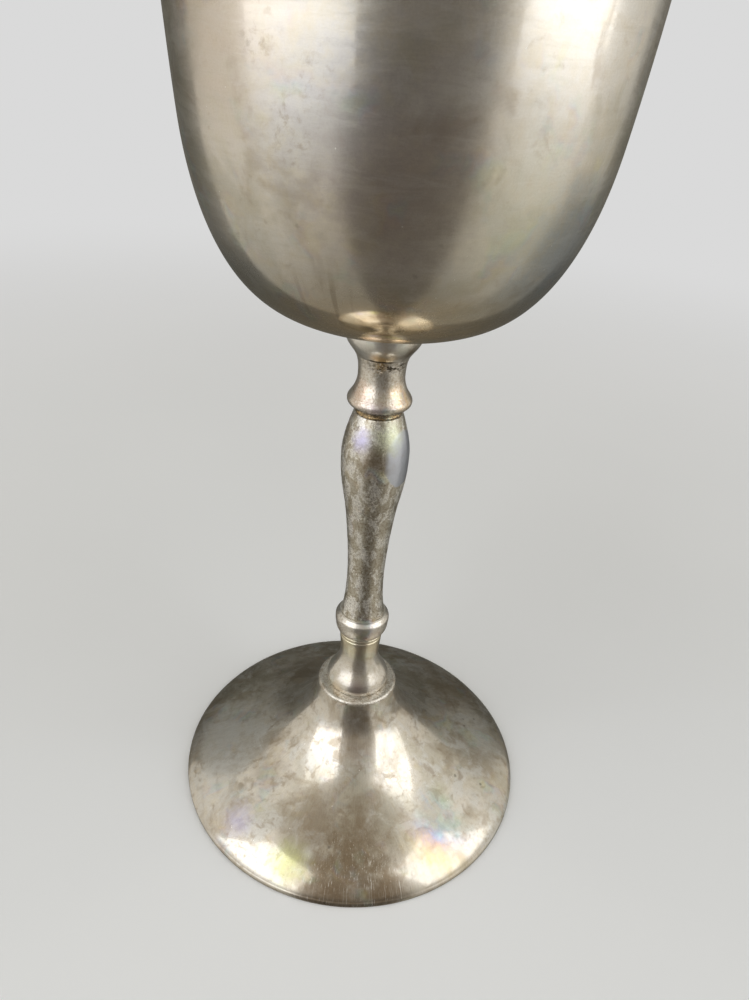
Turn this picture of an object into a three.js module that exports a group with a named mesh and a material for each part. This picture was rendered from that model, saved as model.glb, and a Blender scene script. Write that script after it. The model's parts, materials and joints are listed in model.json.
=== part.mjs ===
// Communion chalice: a stemmed goblet in silver plate, stacked on a threaded tie rod.
// Millimetres, +Z up. The origin is the centre of the plane that the foot stands on.
// From the table up the stack is foot, seat ring, lower spool, lower ring, baluster, upper spool,
// bowl seat and bowl. The tie rod screws into a boss brazed under the bowl, and a nut with two
// washers inside the hollow foot pulls the stack together.

import * as THREE from "three";

// Overall sizes.
const TOTAL_HEIGHT = 178;
const FOOT_RADIUS = 37;
const RIM_RADIUS = 34.3;

// Heights of the stacked pieces, and of the seams that they meet at.
const FOOT_HEIGHT = 24;
const SEAT_RING_HEIGHT = 0.8;
const LOWER_SPOOL_HEIGHT = 13.4;
const LOWER_RING_HEIGHT = 5.2;
const BALUSTER_HEIGHT = 44.1;
const UPPER_SPOOL_HEIGHT = 10.3;
const BOWL_SEAT_HEIGHT = 6.1;
const LOWER_SPOOL_BASE = FOOT_HEIGHT + SEAT_RING_HEIGHT;
const LOWER_RING_BASE = LOWER_SPOOL_BASE + LOWER_SPOOL_HEIGHT;
const BALUSTER_BASE = LOWER_RING_BASE + LOWER_RING_HEIGHT;
const UPPER_SPOOL_BASE = BALUSTER_BASE + BALUSTER_HEIGHT;
const BOWL_SEAT_BASE = UPPER_SPOOL_BASE + UPPER_SPOOL_HEIGHT;
const BOWL_BASE = BOWL_SEAT_BASE + BOWL_SEAT_HEIGHT;

// Sheet metal.
const BOWL_WALL = 1.0;
const FOOT_WALL = 1.1;
const CROWN_THICKNESS = 1.2;
const CROWN_FLAT_RADIUS = 7.4;
const EDGE_HEIGHT = 0.9;
const EDGE_LEAN = 0.4;
const EDGE_SHOULDER = 0.7;
const CURL_THICKNESS = 0.8;
const CURL_RADIUS = 33.2;

// The cup is a superellipse about the axis, widened by the slope of its wall. Above it the wall eases
// to a gentler slope at the rim.
const CUP_RADIUS = 28.26;
const CUP_DEPTH = 28.25;
const CUP_SLOPE = 0.106;
const CUP_RADIAL_POWER = 4;
const CUP_AXIAL_POWER = 2.14;
const CUP_FLAT_RADIUS = 7.6;
const WALL_EASE = 15;
const RIM_SLOPE = 0.053;

// M4 tie rod and hardware.
const THREAD_RADIUS = 2.0;
const ROD_BOTTOM = 12.9;
const ROD_LENGTH = 88.2;
const ROD_CHAMFER = 0.4;
const STEM_BORE = 2.25;
const WASHER_BORE = 2.2;
const SPREADER_RADIUS = 6.8;
const SPREADER_THICKNESS = 1.2;
const LOCK_WASHER_RADIUS = 3.7;
const LOCK_WASHER_THICKNESS = 0.9;
const LOCK_WASHER_GAP = 0.9;
const NUT_BORE = 2.08;
const NUT_ACROSS_FLATS = 7.0;
const NUT_THICKNESS = 3.2;

// The washers and the nut hang under the foot's crown, in this order downwards.
const SPREADER_BASE = FOOT_HEIGHT - CROWN_THICKNESS - SPREADER_THICKNESS;
const LOCK_WASHER_BASE = SPREADER_BASE - LOCK_WASHER_THICKNESS;
const NUT_BASE = LOCK_WASHER_BASE - NUT_THICKNESS;

// Boss under the bowl, and the pocket in the bowl seat that holds it.
const BOSS_RADIUS = 3.9;
const BOSS_HEIGHT = 5.3;
const BOSS_BORE = 2.05;
const BOSS_BORE_DEPTH = 3.0;
const POCKET_RADIUS = 4.1;
const POCKET_DEPTH = 5.5;

// Wire that stiffens the foot's edge.
const WIRE_RADIUS = 0.5;
const WIRE_CIRCLE_RADIUS = 34.0;
const WIRE_HEIGHT = 1.55;

// Facets round the axis, and steps along each curve. The cup's steps crowd slightly towards its wall.
const SHELL_FACETS = 40;
const STEM_FACETS = 24;
const WIRE_FACETS = 6;
const CUP_STEPS = 10;
const CUP_CROWDING = 0.9;
const WALL_STEPS = 4;
const FOOT_STEPS = 5;
const STEM_STEPS = 4;

const SILVER = { color: 0xb3a893, roughness: 0.28, metalness: 1.0 };
const CAST_SILVER = { color: 0xa59c89, roughness: 0.45, metalness: 1.0 };
const BRASS = { color: 0xb08d4f, roughness: 0.4, metalness: 1.0 };
const STEEL = { color: 0x8f8f8c, roughness: 0.45, metalness: 1.0 };

const chalice = new THREE.Group();

// Adds one named piece with a material of its own.
function addPiece(name, geometry, finish) {
  const piece = new THREE.Mesh(geometry, new THREE.MeshStandardMaterial(finish));
  piece.name = name;
  chalice.add(piece);
}

// A point of an outline: a radius and a height.
function at(radius, height) {
  return new THREE.Vector2(radius, height);
}

// A solid of revolution about +Z. Its outline runs up the outside and down the inside.
function turned(outline, facets = STEM_FACETS) {
  const geometry = new THREE.LatheGeometry(outline, facets);
  geometry.rotateX(Math.PI / 2);
  return geometry;
}

// The points up the outer face of a stem piece, whose own heights start at 0, raised to its base.
function raised(side, base) {
  return side.getPoints(STEM_STEPS).map((point) => at(point.x, point.y + base));
}

// A turned stem piece of the given outer face, bored through for the tie rod.
function bored(outer) {
  const bottom = outer[0].y;
  const top = outer[outer.length - 1].y;
  return turned([at(STEM_BORE, bottom), ...outer, at(STEM_BORE, top), at(STEM_BORE, bottom)]);
}

// A curve that runs up, moved inwards along its normals by the thickness of the sheet.
function inset(points, thickness) {
  return points.map((point, i) => {
    const before = points[Math.max(i - 1, 0)];
    const after = points[Math.min(i + 1, points.length - 1)];
    const along = after.clone().sub(before).normalize();
    return at(point.x - along.y * thickness, point.y + along.x * thickness);
  });
}

// The bowl's outer face, from the edge of its flat base to the rim.
function bowlSide() {
  const cup = [at(CUP_FLAT_RADIUS, BOWL_BASE)];
  for (let step = 1; step <= CUP_STEPS; step += 1) {
    const angle = (Math.PI / 2) * (step / CUP_STEPS) ** CUP_CROWDING;
    const rise = CUP_DEPTH * (1 - Math.cos(angle) ** (2 / CUP_AXIAL_POWER));
    const radius = (CUP_RADIUS + CUP_SLOPE * rise) * Math.sin(angle) ** (2 / CUP_RADIAL_POWER);
    cup.push(at(radius, BOWL_BASE + rise));
  }
  const start = cup[cup.length - 1];
  const wall = new THREE.CubicBezierCurve(
    start,
    at(start.x + WALL_EASE * CUP_SLOPE, start.y + WALL_EASE),
    at(RIM_RADIUS - WALL_EASE * RIM_SLOPE, TOTAL_HEIGHT - WALL_EASE),
    at(RIM_RADIUS, TOTAL_HEIGHT),
  );
  return [...cup, ...wall.getPoints(WALL_STEPS).slice(1)];
}

// Thin spun cup with a flat base and an open top.
function addBowl() {
  const outer = bowlSide();
  const inner = inset(outer, BOWL_WALL);
  inner[0].set(CUP_FLAT_RADIUS, BOWL_BASE + BOWL_WALL);
  inner[inner.length - 1].y = TOTAL_HEIGHT;
  const outline = [at(0, BOWL_BASE), ...outer, ...inner.reverse(), at(0, BOWL_BASE + BOWL_WALL)];
  addPiece("bowl", turned(outline, SHELL_FACETS), SILVER);
}

// Round boss with a blind threaded bore, brazed to the bowl's base.
function addBowlBoss() {
  const bottom = BOWL_BASE - BOSS_HEIGHT;
  const boreEnd = bottom + BOSS_BORE_DEPTH;
  const outline = [
    at(0, boreEnd),
    at(BOSS_BORE, boreEnd),
    at(BOSS_BORE, bottom),
    at(BOSS_RADIUS, bottom),
    at(BOSS_RADIUS, BOWL_BASE),
    at(0, BOWL_BASE),
  ];
  addPiece("bowl_boss", turned(outline), BRASS);
}

// Collar that flares and then turns upright under the bowl, with a pocket for the boss.
function addBowlSeat() {
  const side = new THREE.Path();
  side.moveTo(4.55, 0);
  side.bezierCurveTo(4.75, 0.35, 5.15, 0.75, 5.6, 1.3);
  side.bezierCurveTo(6.15, 1.95, 6.6, 2.3, 6.7, 3.3);
  side.lineTo(6.9, BOWL_SEAT_HEIGHT);
  const floor = BOWL_BASE - POCKET_DEPTH;
  const outline = [
    at(STEM_BORE, BOWL_SEAT_BASE),
    ...raised(side, BOWL_SEAT_BASE),
    at(POCKET_RADIUS, BOWL_BASE),
    at(POCKET_RADIUS, floor),
    at(STEM_BORE, floor),
    at(STEM_BORE, BOWL_SEAT_BASE),
  ];
  addPiece("bowl_seat", turned(outline), SILVER);
}

// Spool with a groove at the bottom, a sharp bead above it and a waist at the top.
function addUpperSpool() {
  const side = new THREE.Path();
  side.moveTo(4.1, 0);
  side.lineTo(4.1, 1.1);
  side.bezierCurveTo(5.1, 1.2, 5.66, 1.7, 5.66, 2.4);
  side.bezierCurveTo(5.56, 3.1, 4.03, 4.4, 4.03, 6.85);
  side.bezierCurveTo(4.03, 8.4, 4.2, 9.4, 4.55, UPPER_SPOOL_HEIGHT);
  addPiece("upper_spool", bored(raised(side, UPPER_SPOOL_BASE)), SILVER);
}

// Vase-shaped stem, fullest under its shoulder and slimmest near the bottom.
function addBaluster() {
  const side = new THREE.Path();
  side.moveTo(4.4, 0);
  side.bezierCurveTo(4.0, 1.5, 3.64, 5.1, 3.64, 8.4);
  side.bezierCurveTo(3.64, 13.6, 4.12, 18.4, 4.7, 23.6);
  side.bezierCurveTo(5.15, 27.2, 6.16, 30.0, 6.16, 35.6);
  side.bezierCurveTo(6.16, 38.8, 5.05, 41.9, 4.35, BALUSTER_HEIGHT);
  addPiece("baluster", bored(raised(side, BALUSTER_BASE)), CAST_SILVER);
}

// Barrel-shaped ring whose top edge stands out as a ledge round the baluster.
function addLowerRing() {
  const side = new THREE.Path();
  side.moveTo(4.35, 0);
  side.bezierCurveTo(5.05, 0.4, 5.45, 1.1, 5.45, 2.0);
  side.bezierCurveTo(5.45, 2.9, 5.1, 4.0, 4.65, LOWER_RING_HEIGHT);
  addPiece("lower_ring", bored(raised(side, LOWER_RING_BASE)), SILVER);
}

// Spool that swells at the bottom, with a waist, a groove and a thin bead at the top.
function addLowerSpool() {
  const side = new THREE.Path();
  side.moveTo(6.3, 0);
  side.bezierCurveTo(6.65, 0.6, 6.6, 1.5, 6.1, 2.5);
  side.bezierCurveTo(5.2, 4.2, 4.0, 5.6, 4.0, 8.0);
  side.bezierCurveTo(4.0, 9.6, 4.28, 10.8, 4.28, 12.1);
  side.lineTo(4.1, 12.35);
  side.lineTo(4.1, 12.6);
  side.lineTo(4.45, 12.8);
  side.lineTo(4.45, LOWER_SPOOL_HEIGHT);
  addPiece("lower_spool", bored(raised(side, LOWER_SPOOL_BASE)), SILVER);
}

// Flat ring with a rounded edge that the stem stands on.
function addFootSeatRing() {
  const side = new THREE.Path();
  side.moveTo(8.35, 0);
  side.bezierCurveTo(8.4, 0.4, 8.25, 0.65, 7.9, SEAT_RING_HEIGHT);
  addPiece("foot_seat_ring", bored(raised(side, FOOT_HEIGHT)), SILVER);
}

// The foot's outer face: an upright edge, a steep shoulder, an ogee and a neck up to the crown.
function footSide() {
  const side = new THREE.Path();
  side.moveTo(FOOT_RADIUS, EDGE_HEIGHT);
  side.lineTo(FOOT_RADIUS - EDGE_LEAN, EDGE_HEIGHT + EDGE_SHOULDER);
  side.bezierCurveTo(34.5, 4.6, 28, 6.1, 21, 9.3);
  side.bezierCurveTo(12.5, 13.2, 8.65, 17.6, 8.35, FOOT_HEIGHT);
  return side.getPoints(FOOT_STEPS);
}

// Hollow spun foot. Its edge is turned in to make the flat ring that stands on the table.
function addFoot() {
  const outer = footSide();
  const underCrown = FOOT_HEIGHT - CROWN_THICKNESS;
  const overCurl = CURL_THICKNESS + EDGE_HEIGHT;
  const inner = inset(outer, FOOT_WALL).filter((point) => point.y < underCrown && point.y > overCurl);
  const outline = [
    at(STEM_BORE, underCrown),
    at(CROWN_FLAT_RADIUS, underCrown),
    ...inner.reverse(),
    at(FOOT_RADIUS - FOOT_WALL, CURL_THICKNESS),
    at(CURL_RADIUS, CURL_THICKNESS),
    at(CURL_RADIUS, 0),
    at(FOOT_RADIUS, 0),
    ...outer,
    at(STEM_BORE, FOOT_HEIGHT),
    at(STEM_BORE, underCrown),
  ];
  addPiece("foot", turned(outline, SHELL_FACETS), SILVER);
}

// Brass wire that the foot's edge is turned over.
function addFootRimWire() {
  const wire = new THREE.TorusGeometry(WIRE_CIRCLE_RADIUS, WIRE_RADIUS, WIRE_FACETS, SHELL_FACETS);
  wire.translate(0, 0, WIRE_HEIGHT);
  addPiece("foot_rim_wire", wire, BRASS);
}

// Threaded rod, drawn as a plain cylinder of the thread's outer size with chamfered ends.
function addTieRod() {
  const top = ROD_BOTTOM + ROD_LENGTH;
  const outline = [
    at(0, ROD_BOTTOM),
    at(THREAD_RADIUS - ROD_CHAMFER, ROD_BOTTOM),
    at(THREAD_RADIUS, ROD_BOTTOM + ROD_CHAMFER),
    at(THREAD_RADIUS, top - ROD_CHAMFER),
    at(THREAD_RADIUS - ROD_CHAMFER, top),
    at(0, top),
  ];
  addPiece("tie_rod", turned(outline), STEEL);
}

// A flat shape given its thickness upwards from a height.
function plate(shape, base, thickness) {
  const options = { depth: thickness, bevelEnabled: false, curveSegments: STEM_FACETS };
  const geometry = new THREE.ExtrudeGeometry(shape, options);
  geometry.translate(0, 0, base);
  return geometry;
}

function roundHole(radius) {
  return new THREE.Path().absarc(0, 0, radius, 0, 2 * Math.PI, true);
}

// Flat washer that spreads the nut's pull under the crown.
function addSpreaderWasher() {
  const disc = new THREE.Shape().absarc(0, 0, SPREADER_RADIUS, 0, 2 * Math.PI);
  disc.holes.push(roundHole(WASHER_BORE));
  addPiece("spreader_washer", plate(disc, SPREADER_BASE, SPREADER_THICKNESS), BRASS);
}

// Spring washer, pressed flat: a ring cut through by a narrow gap.
function addLockWasher() {
  const outerGap = LOCK_WASHER_GAP / 2 / LOCK_WASHER_RADIUS;
  const innerGap = LOCK_WASHER_GAP / 2 / WASHER_BORE;
  const ring = new THREE.Shape();
  ring.absarc(0, 0, LOCK_WASHER_RADIUS, outerGap, 2 * Math.PI - outerGap);
  ring.absarc(0, 0, WASHER_BORE, 2 * Math.PI - innerGap, innerGap, true);
  addPiece("lock_washer", plate(ring, LOCK_WASHER_BASE, LOCK_WASHER_THICKNESS), STEEL);
}

// Hexagon nut.
function addNut() {
  const cornerRadius = NUT_ACROSS_FLATS / 2 / Math.cos(Math.PI / 6);
  const corners = [];
  for (let corner = 0; corner < 6; corner += 1) {
    const angle = (corner * Math.PI) / 3;
    corners.push(at(cornerRadius * Math.cos(angle), cornerRadius * Math.sin(angle)));
  }
  const hexagon = new THREE.Shape(corners);
  hexagon.holes.push(roundHole(NUT_BORE));
  addPiece("nut", plate(hexagon, NUT_BASE, NUT_THICKNESS), BRASS);
}

addBowl();
addBowlBoss();
addBowlSeat();
addUpperSpool();
addBaluster();
addLowerRing();
addLowerSpool();
addFootSeatRing();
addFoot();
addFootRimWire();
addTieRod();
addSpreaderWasher();
addLockWasher();
addNut();

export default chalice;
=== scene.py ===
"""Looks of the communion chalice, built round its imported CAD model.

Every CAD piece is replaced by a finely turned mesh that fills the same box: thin sheet with rolled edges,
rounded seams, a granular cast stem, modelled screw threads. Metres, +Z up, in the CAD model's frame.
"""

import json
import math

import bpy
import numpy as np
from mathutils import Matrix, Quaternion, Vector, noise


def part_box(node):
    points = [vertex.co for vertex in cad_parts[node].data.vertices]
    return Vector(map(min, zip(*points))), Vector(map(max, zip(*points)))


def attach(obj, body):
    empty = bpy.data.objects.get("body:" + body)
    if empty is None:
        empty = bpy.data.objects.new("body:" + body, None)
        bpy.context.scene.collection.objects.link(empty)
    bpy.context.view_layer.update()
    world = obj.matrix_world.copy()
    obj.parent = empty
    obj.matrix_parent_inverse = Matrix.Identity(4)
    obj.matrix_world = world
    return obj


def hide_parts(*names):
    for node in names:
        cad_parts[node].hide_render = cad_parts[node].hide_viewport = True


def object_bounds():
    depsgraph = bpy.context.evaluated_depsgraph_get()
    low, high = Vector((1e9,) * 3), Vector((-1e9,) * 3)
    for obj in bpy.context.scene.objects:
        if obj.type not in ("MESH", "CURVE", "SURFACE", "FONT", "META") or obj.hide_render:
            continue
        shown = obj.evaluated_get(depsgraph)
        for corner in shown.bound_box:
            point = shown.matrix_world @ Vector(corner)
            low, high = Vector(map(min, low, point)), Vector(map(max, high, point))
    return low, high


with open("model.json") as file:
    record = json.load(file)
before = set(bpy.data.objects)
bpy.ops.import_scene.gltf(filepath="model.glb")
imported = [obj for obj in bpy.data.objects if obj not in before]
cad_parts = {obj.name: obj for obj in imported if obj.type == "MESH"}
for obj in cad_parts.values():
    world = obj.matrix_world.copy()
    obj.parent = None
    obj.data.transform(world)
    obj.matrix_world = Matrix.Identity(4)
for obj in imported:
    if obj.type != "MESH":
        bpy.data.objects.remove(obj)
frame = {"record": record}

MM = 0.001
CAD_LOW, CAD_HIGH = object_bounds()

# How finely the pieces are turned: steps round the axis.
SHELL_STEPS = 320
STEM_STEPS = 200
HARDWARE_STEPS = 96

# Edges sharper than this stay crisp.
SHARP_ANGLE = math.radians(38)


# ---------------------------------------------------------------- outlines


class Outline:
    """The profile of a turned piece: points of radius and height in millimetres, in order."""

    def __init__(self, radius, height):
        self.points = [(radius, height)]

    def to(self, radius, height, steps=1):
        """A straight run to a point."""
        r0, h0 = self.points[-1]
        for t in np.linspace(0, 1, steps + 1)[1:]:
            self.points.append((r0 + (radius - r0) * t, h0 + (height - h0) * t))
        return self

    def bend(self, first, second, end, steps=16):
        """A cubic curve to a point, with two control points."""
        p0, p1, p2, p3 = (np.array(p, float) for p in (self.points[-1], first, second, end))
        for t in np.linspace(0, 1, steps + 1)[1:]:
            s = 1 - t
            point = s**3 * p0 + 3 * s * s * t * p1 + 3 * s * t * t * p2 + t**3 * p3
            self.points.append(tuple(point))
        return self

    def corner(self, corner, end, steps=6):
        """A rounded corner that heads for one point and ends at another."""
        p0 = np.array(self.points[-1], float)
        via, p2 = np.array(corner, float), np.array(end, float)
        for t in np.linspace(0, 1, steps + 1)[1:]:
            self.points.append(tuple((1 - t) ** 2 * p0 + 2 * t * (1 - t) * via + t * t * p2))
        return self

    def array(self):
        return np.array(self.points, float)


def even(points, spacing):
    """The same path with points at about the given spacing, keeping its ends."""
    steps = np.hypot(*np.diff(points, axis=0).T)
    length = np.concatenate([[0], np.cumsum(steps)])
    places = np.linspace(0, length[-1], max(int(length[-1] / spacing), 2) + 1)
    return np.stack([np.interp(places, length, points[:, i]) for i in range(2)], 1)


def inset(points, thickness):
    """A path moved to its left by a thickness: inwards, for a path that runs up."""
    along = np.gradient(points, axis=0)
    along /= np.hypot(*along.T)[:, None]
    return points + thickness * np.stack([-along[:, 1], along[:, 0]], 1)


def fitted(points, node):
    """Outline points in metres, stretched to fill a CAD node's box in radius and in height."""
    low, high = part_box(node)
    bottom, top = points[:, 1].min(), points[:, 1].max()
    radius = points[:, 0] / points[:, 0].max() * high.x
    height = low.z + (points[:, 1] - bottom) / (top - bottom) * (high.z - low.z)
    return np.stack([radius, height], 1)


# ---------------------------------------------------------------- meshes


def mark_sharp(mesh):
    """Smooth faces everywhere, with crisp edges where two faces meet at more than SHARP_ANGLE."""
    mesh.shade_smooth()
    normals = np.zeros(len(mesh.polygons) * 3)
    mesh.polygons.foreach_get("normal", normals)
    normals = normals.reshape(-1, 3)
    edge_of_corner = np.zeros(len(mesh.loops), int)
    mesh.loops.foreach_get("edge_index", edge_of_corner)
    sizes = np.zeros(len(mesh.polygons), int)
    mesh.polygons.foreach_get("loop_total", sizes)
    face_of_corner = np.repeat(np.arange(len(sizes)), sizes)
    order = np.argsort(edge_of_corner, kind="stable")
    edges, faces = edge_of_corner[order], face_of_corner[order]
    paired = edges[:-1] == edges[1:]
    bend = (normals[faces[:-1]] * normals[faces[1:]]).sum(1)
    sharp = np.zeros(len(mesh.edges), bool)
    sharp[edges[:-1][paired & (bend < math.cos(SHARP_ANGLE))]] = True
    mesh.edges.foreach_set("use_edge_sharp", sharp)


def mesh_piece(name, vertices, faces):
    """A named object made of the given vertices and faces."""
    mesh = bpy.data.meshes.new(name)
    mesh.from_pydata(vertices.tolist(), [], faces)
    mesh.validate()
    mesh.update()
    mark_sharp(mesh)
    piece = bpy.data.objects.new(name, mesh)
    bpy.context.scene.collection.objects.link(piece)
    return piece


def spun(name, radius, height, closed):
    """A piece spun about +Z from grids of radius and height: one row a station, one column a step round.

    A closed outline joins its last station to its first. An open one starts and ends on the axis.
    """
    rows, steps = radius.shape
    turn = np.arange(steps) * 2 * math.pi / steps
    points = np.stack([radius * np.cos(turn), radius * np.sin(turn), height], -1).reshape(-1, 3)
    here = np.arange(steps)
    there = (here + 1) % steps
    faces = []
    for row in range(rows if closed else rows - 1):
        a, b = row * steps, (row + 1) % rows * steps
        faces += np.stack([a + here, a + there, b + there, b + here], 1).tolist()
    if not closed:
        first, last = len(points), len(points) + 1
        ends = [(0, 0, height[0].mean()), (0, 0, height[-1].mean())]
        points = np.vstack([points, ends])
        faces += [[first, int(j), int(i)] for i, j in zip(here, there)]
        top = (rows - 1) * steps
        faces += [[last, top + int(i), top + int(j)] for i, j in zip(here, there)]
    return mesh_piece(name, points, faces)


def grids(points, steps):
    """Grids of radius and height for an outline in metres."""
    radius = np.repeat(points[:, :1], steps, 1)
    height = np.repeat(points[:, 1:], steps, 1)
    return radius, height


def ripple(radius, height, size, depth, seed, detail=0):
    """Smooth noise over a spun grid: size is the width of its features, depth its reach, in metres."""
    steps = radius.shape[1]
    turn = np.arange(steps) * 2 * math.pi / steps
    places = np.stack([radius * np.cos(turn), radius * np.sin(turn), height], -1).reshape(-1, 3) / size
    places += seed * 17.3
    if detail:
        values = [noise.fractal(Vector(p), 1.0, 2.0, detail) for p in places]
    else:
        values = [noise.noise(Vector(p)) for p in places]
    return np.array(values).reshape(radius.shape) * depth


def finish_piece(piece, node, material):
    """Puts a finished piece in the place of its CAD node."""
    body = next(b for b, nodes in frame["record"]["behaviour"]["bodies"].items() if node in nodes)
    piece.data.materials.append(material)
    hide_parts(node)
    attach(piece, body)
    return piece


# ---------------------------------------------------------------- materials


def connect(tree, value, socket):
    """Links a socket, or sets it to a plain value."""
    if isinstance(value, bpy.types.NodeSocket):
        tree.links.new(value, socket)
    elif isinstance(value, tuple) and socket.type == "RGBA":
        socket.default_value = (*value, 1)
    else:
        socket.default_value = value


class Nodes:
    """A node tree whose links are made as its nodes are added."""

    def __init__(self, tree):
        self.tree = tree
        tree.nodes.clear()

    def add(self, kind, inputs=None, **settings):
        node = self.tree.nodes.new(kind)
        for key, value in settings.items():
            setattr(node, key, value)
        for key, value in (inputs or {}).items():
            connect(self.tree, value, node.inputs[key])
        return node

    def math(self, operation, a, b=0.0, clamp=False):
        node = self.add("ShaderNodeMath", {0: a, 1: b}, operation=operation, use_clamp=clamp)
        return node.outputs[0]

    def times(self, *values):
        product = values[0]
        for value in values[1:]:
            product = self.math("MULTIPLY", product, value)
        return product

    def plus(self, a, b, clamp=False):
        return self.math("ADD", a, b, clamp)

    def boosted(self, value, factor):
        """A value multiplied and held between 0 and 1."""
        return self.math("MULTIPLY", value, factor, clamp=True)

    def inverse(self, value):
        """1 less a value."""
        return self.math("SUBTRACT", 1.0, value)

    def spread(self, value, low, high, to_low=0.0, to_high=1.0):
        """A value eased from one range to another, and held at the ends."""
        values = {"Value": value, "From Min": low, "From Max": high, "To Min": to_low, "To Max": to_high}
        return self.add("ShaderNodeMapRange", values, interpolation_type="SMOOTHSTEP").outputs[0]

    def vector(self, operation, a, b=(0, 0, 0), scale=1.0):
        values = {0: a, "Scale": scale} if operation == "SCALE" else {0: a, 1: b}
        node = self.add("ShaderNodeVectorMath", values, operation=operation)
        return node.outputs["Value"] if operation == "DISTANCE" else node.outputs[0]

    def mix(self, factor, a, b):
        node = self.add("ShaderNodeMix", data_type="RGBA", clamp_factor=True)
        for index, value in ((0, factor), (6, a), (7, b)):
            connect(self.tree, value, node.inputs[index])
        return node.outputs[2]

    def ramp(self, factor, stops):
        node = self.add("ShaderNodeValToRGB", {"Fac": factor})
        elements = node.color_ramp.elements
        while len(elements) < len(stops):
            elements.new(0.5)
        for element, (position, colour) in zip(elements, stops):
            element.position = position
            element.color = (*colour, 1)
        return node.outputs["Color"]

    def noise(self, vector, scale, detail=4.0, roughness=0.5, warp=0.0):
        values = {"Vector": vector, "Scale": scale, "Detail": detail, "Roughness": roughness}
        values["Distortion"] = warp
        return self.add("ShaderNodeTexNoise", values).outputs["Fac"]


CLEAN_SILVER = (0.81, 0.78, 0.73)
STRAW_SILVER = (0.74, 0.66, 0.50)
OLIVE_SILVER = (0.47, 0.45, 0.36)
BROWN_TARNISH_AND_SHADE = (0.34, 0.27, 0.19)
DARK_TARNISH = (0.09, 0.075, 0.055)
MILKY_SILVER = (0.74, 0.74, 0.72)
WHITE_DUST_AND_HIGHLIGHT = (0.95, 0.94, 0.90)
GOLD_SHOWING = (0.78, 0.56, 0.28)
VIOLET_FILM = (0.62, 0.60, 0.84)
GREEN_FILM = (0.74, 0.80, 0.56)

# Colours of a thickening sulphide film, from straw to pink, blue, green and yellow.
FILM_COLOURS = (
    (0.00, (0.66, 0.62, 0.55)),
    (0.20, (0.72, 0.60, 0.34)),
    (0.36, (0.66, 0.48, 0.44)),
    (0.48, (0.44, 0.44, 0.62)),
    (0.60, (0.36, 0.58, 0.68)),
    (0.76, (0.50, 0.72, 0.56)),
    (1.00, (0.80, 0.76, 0.32)),
)


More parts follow.
